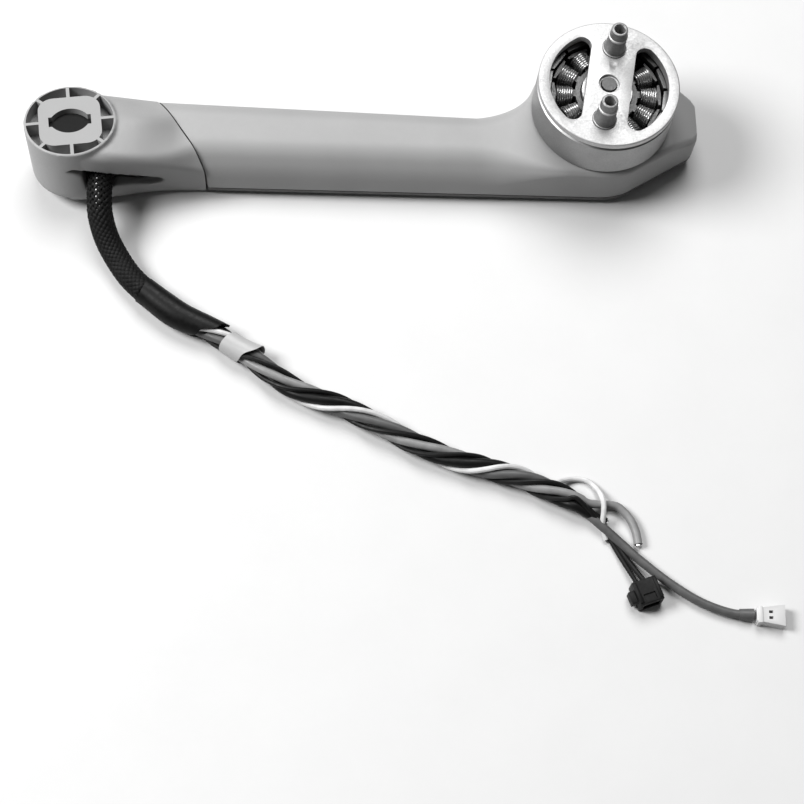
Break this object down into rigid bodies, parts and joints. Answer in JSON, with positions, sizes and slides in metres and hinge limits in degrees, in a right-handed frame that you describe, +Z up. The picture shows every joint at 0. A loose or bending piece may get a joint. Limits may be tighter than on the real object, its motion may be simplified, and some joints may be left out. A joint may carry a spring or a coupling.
{
  "type": "folding drone motor arm",
  "caption": "Folding camera-drone arm: ribbed hinge root, hollow shell, outrunner motor that spins, and a sleeved wire harness with plugs.",
  "frame": {"origin": "centre of the rigid parts' footprint, on the surface the arm lies on", "axes": "+Z up along the motor axis, +X along the arm from the hinge to the motor, -Y toward the side the harness leaves"},
  "size_m": [0.1445, 0.1188, 0.0291],
  "materials": {
    "shell_plastic": "fine moulded satin grey plastic",
    "cover_plastic": "moulded satin dark grey plastic",
    "dark_steel": "dark nickel on turned steel",
    "bearing_steel": "ground steel",
    "zinc_steel": "zinc-plated screw steel",
    "cast_alloy": "cast and faced alloy",
    "bright_alloy": "fine turned clear-anodised alloy",
    "post_steel": "turned steel",
    "laminations": "insulated stacked laminations",
    "enamel_wire": "black enamelled winding wire",
    "magnet_black": "coated magnet",
    "lens_plastic": "translucent white",
    "circuit_board": "solder-masked board",
    "black_insulation": "black wire insulation",
    "black_braid": "woven black nylon sleeve",
    "heat_shrink": "black shrunk tube, satin",
    "grey_insulation": "grey wire insulation",
    "light_insulation": "light grey wire insulation",
    "tape": "translucent tape",
    "black_nylon": "moulded nylon",
    "white_nylon": "moulded nylon"
  },
  "bodies": {
    "arm": {"hinge_root": "shell_plastic", "hinge_can": "dark_steel", "hinge_spring": "bearing_steel", "hinge_follower": "bearing_steel", "arm_shell": "shell_plastic", "arm_lower_cover": "cover_plastic", "root_screw_1": "zinc_steel", "root_screw_2": "zinc_steel", "cover_screw_1": "zinc_steel", "cover_screw_2": "zinc_steel", "cover_screw_3": "zinc_steel", "cover_screw_4": "zinc_steel", "led_lens": "lens_plastic", "led_board": "circuit_board", "inner_harness": "black_insulation", "motor_base": "cast_alloy", "motor_screw_1": "zinc_steel", "motor_screw_2": "zinc_steel", "motor_screw_3": "zinc_steel", "stator_core": "laminations", "stator_windings": "enamel_wire", "bearing_lower_outer": "bearing_steel", "bearing_upper_outer": "bearing_steel", "cable_sleeve": "black_braid", "heat_shrink": "heat_shrink", "harness_neck": "grey_insulation", "tape_band": "tape", "wire_bundle": "grey_insulation", "wire_loop": "light_insulation", "thin_lead": "grey_insulation", "grey_cable": "grey_insulation", "black_plug": "black_nylon", "white_plug": "white_nylon"},
    "rotor": {"bell_cap": "bright_alloy", "flux_ring": "dark_steel", "magnet_ring": "magnet_black", "motor_shaft": "bearing_steel", "shaft_clip": "dark_steel", "prop_post_far": "post_steel", "prop_post_near": "post_steel", "bearing_lower_inner": "bearing_steel", "bearing_upper_inner": "bearing_steel"},
    "ball_cages": {"bearing_lower_cage": "bearing_steel", "bearing_upper_cage": "bearing_steel"},
    "hinge_shaft": {"hinge_cam_shaft": "bearing_steel"}
  },
  "joints": [
    {"name": "rotor_spin", "type": "hinge", "parent": "arm", "child": "rotor", "pos_m": [0.04682, 0.00186, 0], "axis": [0, 0, 1], "continuous": true},
    {"name": "cage_spin", "type": "hinge", "parent": "arm", "child": "ball_cages", "pos_m": [0.04682, 0.00186, 0], "axis": [0, 0, 1], "continuous": true},
    {"name": "hinge_fold", "type": "hinge", "parent": "arm", "child": "hinge_shaft", "pos_m": [-0.05781, -0.00579, 0.0155], "axis": [-0.0515, 0.1768, 0.9829], "range_deg": [0, 105]}
  ],
  "couplings": [
    {"joint": "cage_spin", "follows": "rotor_spin", "ratio": 0.402}
  ]
}
